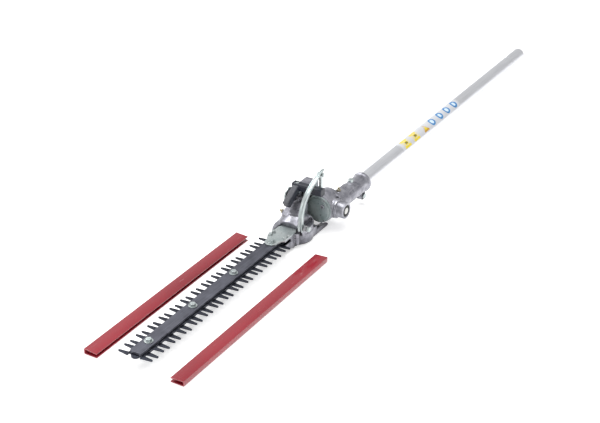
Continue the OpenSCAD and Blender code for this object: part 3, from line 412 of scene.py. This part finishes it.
# ---------------------------------------------------------------- mesh helpers
def new_object(name, mesh, body, material, smooth=None):
    o = bpy.data.objects.new(name, mesh)
    scene.collection.objects.link(o)
    mesh.materials.clear()
    for m in (material if isinstance(material, list) else [material]):
        mesh.materials.append(M[m])
    if smooth is not None:
        mesh.shade_smooth()
        mesh.set_sharp_from_angle(angle=math.radians(smooth))
    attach(o, body)
    return o


def bake_modifiers(o):
    dg = bpy.context.evaluated_depsgraph_get()
    mesh = bpy.data.meshes.new_from_object(o.evaluated_get(dg))
    o.modifiers.clear()
    o.data = mesh
    return o


def axis_matrix(axis):
    return {"X": Matrix.Rotation(math.pi / 2, 4, "Y"), "Y": Matrix.Rotation(-math.pi / 2, 4, "X"),
            "Z": Matrix.Identity(4)}[axis]


def lathe(bm, profile, place, axis="X", steps=64):
    """Closed surface of revolution: profile is a list of (distance along the axis, radius)."""
    m = Matrix.Translation(Vector(place)) @ axis_matrix(axis)
    rings = []
    for along, r in profile:
        if r < 1e-7:
            rings.append([bm.verts.new(m @ Vector((0, 0, along)))])
        else:
            rings.append([bm.verts.new(m @ Vector((r * math.cos(2 * math.pi * i / steps),
                                                   r * math.sin(2 * math.pi * i / steps), along)))
                          for i in range(steps)])
    for a, b in zip(rings, rings[1:]):
        for i in range(steps):
            j = (i + 1) % steps
            quad = [a[i % len(a)], a[j % len(a)], b[j % len(b)], b[i % len(b)]]
            face = [v for k, v in enumerate(quad) if v not in quad[:k]]
            if len(face) > 2:
                bm.faces.new(face)
    return bm


def prism(bm, outline, lo, hi, plane="XZ"):
    """Outline extruded along the third axis from lo to hi."""
    def at(p, h):
        return {"XZ": (p[0], h, p[1]), "XY": (p[0], p[1], h), "YZ": (h, p[0], p[1])}[plane]
    a = [bm.verts.new(at(p, lo)) for p in outline]
    b = [bm.verts.new(at(p, hi)) for p in outline]
    n = len(outline)
    bm.faces.new(a)
    bm.faces.new(list(reversed(b)))
    for i in range(n):
        j = (i + 1) % n
        bm.faces.new([a[j], a[i], b[i], b[j]])
    return bm


def block(bm, lo, hi):
    return prism(bm, [(lo[0], lo[1]), (hi[0], lo[1]), (hi[0], hi[1]), (lo[0], hi[1])], lo[2], hi[2], "XY")


def finish_bm(bm, name, turn=True):
    if turn:
        bmesh.ops.recalc_face_normals(bm, faces=bm.faces)
    mesh = bpy.data.meshes.new(name)
    bm.to_mesh(mesh)
    bm.free()
    return mesh


def cad_copy(node):
    """The CAD node's own mesh, welded, as a new bmesh."""
    bm = bmesh.new()
    bm.from_mesh(NODES[node].data)
    bmesh.ops.remove_doubles(bm, verts=bm.verts, dist=2e-6)
    return bm


CAST_VOXEL = 0.8 * MM
CAST_ROUNDS = 5


def cast_part(name, node, body, add=None):
    """A casting: the CAD shape fused with its cast-on details, then softened into fillets."""
    bm = cad_copy(node)
    if add:
        add(bm)
    mesh = finish_bm(bm, name)
    o = bpy.data.objects.new(name, mesh)
    scene.collection.objects.link(o)
    r = o.modifiers.new("fuse", "REMESH")
    r.mode = "VOXEL"
    r.voxel_size = CAST_VOXEL
    bake_modifiers(o)
    sm = o.modifiers.new("soften", "SMOOTH")
    sm.factor = 0.5
    sm.iterations = CAST_ROUNDS
    bake_modifiers(o)
    o.data.materials.clear()
    o.data.materials.append(M["casting"])
    o.data.shade_smooth()
    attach(o, body)
    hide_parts(node)
    return o


# ---------------------------------------------------------------- castings
TUBE_R = (tube_hi.z - tube_lo.z) / 2
disc_lo, disc_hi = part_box("joint_cover")
HOUSE_Y = (disc_lo.y + disc_hi.y) / 2
clamp_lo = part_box("upper_case")[0]


def knuckle_details(bm):
    x0 = clamp_lo.x
    r = TUBE_R + 3.5 * MM
    # raised ring at the clamp's rim
    lathe(bm, [(1 * MM, r - MM), (1 * MM, r + 1.7 * MM), (3 * MM, r + 2.1 * MM), (6.5 * MM, r + 1.5 * MM),
               (8 * MM, r - MM), (1 * MM, r - MM)], (x0, 0, 0))
    # ring flange between the housing and the hub
    for y, grow in ((HOUSE_Y + 24 * MM, 2.0), (HOUSE_Y + 29 * MM, 1.2)):
        lathe(bm, [(0, 12 * MM), (0, 17.0 * MM + grow * MM), (2.2 * MM, 17.0 * MM + grow * MM),
                   (2.2 * MM, 12 * MM), (0, 12 * MM)], (HUB_X, y, 0), "Y")
    # ribs along the neck
    for a in (0.9, 2.2, 3.6, 4.6):
        cy, cz = math.cos(a) * r, math.sin(a) * r
        w = 1.1 * MM
        block(bm, (x0 + 52 * MM, cy - w, cz - w), (HUB_X - 24 * MM, cy + w, cz + w))


cast_part("knuckle_casting", "upper_case", "pole", knuckle_details)


def head_details(bm):
    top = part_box("gear_case")[1].z
    wall = HUB_X + 44 * MM
    # vertical ribs on the upright's front
    for k in range(3):
        y = BLADE_Y + (-26 + 9 * k) * MM
        prism(bm, [(wall - 3 * MM, -20 * MM), (wall + 9 * MM - k * MM, -20 * MM),
                   (wall + 4.5 * MM, 12 * MM), (wall + 3.2 * MM, top - 7 * MM),
                   (wall - 3 * MM, top - 5 * MM)],
              y, y + 2.2 * MM)


cast_part("head_casting", "gear_case", "head", head_details)
cast_part("tray_casting", "case_tray", "head")

# ---------------------------------------------------------------- lock lever: a swept channel
lever_lo, lever_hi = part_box("lock_lever")
LEVER_Y = (lever_lo.y + lever_hi.y) / 2
LEVER_HALF = (lever_hi.y - lever_lo.y) / 2
# centreline from the swivel axis in millimetres: the control points of a Bezier curve
LEVER_PATH = [Vector((95.5, -10.2)), Vector((100, 42)), Vector((76, 66)), Vector((14, 82))]


def lever_point(t):
    a, b, c, d = LEVER_PATH
    return ((1 - t) ** 3 * a + 3 * (1 - t) ** 2 * t * b + 3 * (1 - t) * t * t * c + t ** 3 * d) * MM


def lever_section(t):
    """Points (across, inwards): rolled rims, a groove between them and two flanges behind."""
    taper = max(0.0, (t - 0.80) / 0.20)
    h = LEVER_HALF / MM * (1 - 0.45 * taper ** 1.6)
    f = 8.0 - 4.4 * t ** 2
    side = [(0, 1.25), (h - 2.1, 1.0), (h - 1.4, 0.12), (h - 0.8, 0.0), (h - 0.25, 0.15), (h, 0.7),
            (h, f - 0.5), (h - 0.3, f - 0.1), (h - 0.8, f - 0.1), (h - 1.1, f - 0.5), (h - 1.1, 2.7),
            (h - 1.8, 2.0), (0, 2.0)]
    return side + [(-y, d) for y, d in reversed(side[1:-1])]


bm = bmesh.new()
rings = []
STATIONS = 56
for i in range(STATIONS + 1):
    t = i / STATIONS
    p = lever_point(t)
    along = lever_point(t + 0.004) - lever_point(t - 0.004)
    inward = Vector((-along.y, along.x)).normalized()
    rings.append([bm.verts.new((HUB_X + p.x + inward.x * d * MM, LEVER_Y + y * MM,
                                p.y + inward.y * d * MM)) for y, d in lever_section(t)])
for a, b in zip(rings, rings[1:]):
    for i in range(len(a)):
        j = (i + 1) % len(a)
        bm.faces.new([a[i], a[j], b[j], b[i]])
bm.faces.new(rings[0])
bm.faces.new(list(reversed(rings[-1])))
pivot = centre("lever_bolt")
for side in (-1, 1):
    y0 = LEVER_Y + side * (LEVER_HALF - 1.1 * MM)
    lathe(bm, [(0, 0), (0, 5.7 * MM), (side * 0.8 * MM, 5.9 * MM), (side * 1.1 * MM, 5.5 * MM),
               (side * 1.1 * MM, 0)], (pivot.x, y0, pivot.z), "Y", 40)
lever = new_object("lever_strap", finish_bm(bm, "lever_strap"), "lever", "zinc", 50)
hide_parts("lock_lever")

# ---------------------------------------------------------------- boss of the round cover
bm = bmesh.new()
lathe(bm, [(0, 1.5 * MM), (0, 3.9 * MM), (7.2 * MM, 3.6 * MM), (7.8 * MM, 3.0 * MM), (7.8 * MM, 1.9 * MM),
           (7.2 * MM, 1.5 * MM), (0, 1.5 * MM)], (disc_lo.x, HOUSE_Y + 10 * MM, 9 * MM))
new_object("cover_boss", finish_bm(bm, "cover_boss"), "pole", "casting", 40)

# ---------------------------------------------------------------- blade covers: rounded extrusions
COVER_WALL = 1.6 * MM
COVER_SLOPE = 1.8 * MM
COVER_ROUND = 1.1 * MM


def cover_mesh(node, body, mouth):
    """Channel with rounded corners and a rolled lip, mouth towards +Y (1) or -Y (-1)."""
    lo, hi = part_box(node)
    w, h, t = hi.y - lo.y, hi.z - lo.z, COVER_WALL
    low = h - COVER_SLOPE
    r = COVER_ROUND
    outer = [(w, 0), (r, 0), (0.3 * r, 0.3 * r), (0, r), (0, h - r), (0.3 * r, h - 0.3 * r), (r, h),
             (w - r, low + 0.3 * r), (w - 0.2 * r, low), (w, low - 0.6 * MM)]
    inner = [(w - 0.3 * MM, low - t), (t + r, h - t), (t, h - t - r), (t, t + r), (t + r, t), (w, t)]
    shape = [(y if mouth > 0 else w - y, z) for y, z in outer + inner]
    cm = bmesh.new()
    prism(cm, [(lo.y + y, lo.z + z) for y, z in shape], lo.x, hi.x, "YZ")
    o = new_object(node + "_extrusion", finish_bm(cm, node + "_extrusion"), body, "red", 40)
    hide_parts(node)


cover_mesh("left_cover", "left_cover", 1)
cover_mesh("right_cover", "right_cover", -1)

# ---------------------------------------------------------------- signs on the tube: plain coloured shapes


def wrapped_shape(name, points, x, lean, lift, material):
    """A flat outline (along, across) in metres, laid on the tube at x, turned by lean from its top."""
    bm = bmesh.new()
    r = TUBE_R + lift
    mid = bm.verts.new((x, r * math.sin(lean), r * math.cos(lean)))
    ring = []
    for along, across in points:
        a = lean + across / r
        ring.append(bm.verts.new((x + along, r * math.sin(a), r * math.cos(a))))
    for i, v in enumerate(ring):
        bm.faces.new([mid, v, ring[(i + 1) % len(ring)]])
    bmesh.ops.subdivide_edges(bm, edges=bm.edges, cuts=2, use_grid_fill=True)
    for v in bm.verts:
        d = math.hypot(v.co.y, v.co.z)
        v.co.y *= r / d
        v.co.z *= r / d
    bmesh.ops.recalc_face_normals(bm, faces=bm.faces)
    if sum(f.normal.z for f in bm.faces) < 0:
        bmesh.ops.reverse_faces(bm, faces=bm.faces)
    return new_object(name, finish_bm(bm, name, turn=False), "pole", material, 60)


def soft_square(w, h, r, n=5):
    pts = []
    for cx, cy, a0 in ((w / 2 - r, h / 2 - r, 0), (-w / 2 + r, h / 2 - r, 90),
                       (-w / 2 + r, -h / 2 + r, 180), (w / 2 - r, -h / 2 + r, 270)):
        for k in range(n):
            a = math.radians(a0 + 90 * k / (n - 1))
            pts.append((cx + r * math.cos(a), cy + r * math.sin(a)))
    return pts


def circle_points(r, n=28):
    return [(r * math.cos(2 * math.pi * i / n), r * math.sin(2 * math.pi * i / n)) for i in range(n)]


SIGN_LEAN = math.radians(24)
BLUE_LEAN = SIGN_LEAN - 0.05
SIGN_LIFT, MARK_LIFT = 0.24 * MM, 0.32 * MM
YELLOW_X = (0.571, 0.533)
AMBER_X = 0.489
BLUE_X = (0.4555, 0.4205, 0.388, 0.3545)
for i, x in enumerate(YELLOW_X):
    wrapped_shape(f"sign_yellow_{i}", soft_square(25 * MM, 21 * MM, 2.5 * MM), x, SIGN_LEAN, SIGN_LIFT,
                  "sign_yellow")
    wrapped_shape(f"sign_yellow_mark_{i}", soft_square(9 * MM, 5 * MM, 2 * MM), x - 1 * MM, SIGN_LEAN,
                  MARK_LIFT, "sign_ink")
tri = [(0.5 * 20 * MM, 9 * MM), (-0.5 * 20 * MM, 9 * MM), (-0.5 * 20 * MM, 6.5 * MM), (0, -9 * MM),
       (0.5 * 20 * MM, 6.5 * MM)]
wrapped_shape("sign_amber", tri, AMBER_X, SIGN_LEAN, SIGN_LIFT, "sign_amber")
wrapped_shape("sign_amber_mark", [(0.45 * x, 0.45 * y + 1.2 * MM) for x, y in tri], AMBER_X, SIGN_LEAN,
              MARK_LIFT, "sign_yellow")
for i, x in enumerate(BLUE_X):
    wrapped_shape(f"sign_blue_{i}", circle_points(9.5 * MM), x, BLUE_LEAN, SIGN_LIFT, "sign_blue")
    wrapped_shape(f"sign_blue_mark_{i}", circle_points(5.2 * MM, 20) if i % 2 == 0 else
                  soft_square(8 * MM, 9 * MM, 2 * MM), x + 0.5 * MM, BLUE_LEAN, MARK_LIFT, "sign_pale")

# ---------------------------------------------------------------- floor
floor_mat = bpy.data.materials.new("floor_pale")
floor_mat.use_nodes = True
fb = floor_mat.node_tree.nodes["Principled BSDF"]
fb.inputs["Base Color"].default_value = (0.93, 0.93, 0.93, 1)
fb.inputs["Roughness"].default_value = 0.9
fb.inputs["Specular IOR Level"].default_value = 0.1
fb.inputs["Emission Color"].default_value = (1, 1, 1, 1)
fb.inputs["Emission Strength"].default_value = 0.42
floor_mesh = bpy.data.meshes.new("floor")
floor_mesh.from_pydata([(-8, -8, 0), (10, -8, 0), (10, 8, 0), (-8, 8, 0)], [], [(0, 1, 2, 3)])
floor = bpy.data.objects.new("floor", floor_mesh)
floor_mesh.materials.append(floor_mat)
scene.collection.objects.link(floor)
floor.location.z = FLOOR_Z - 0.0002
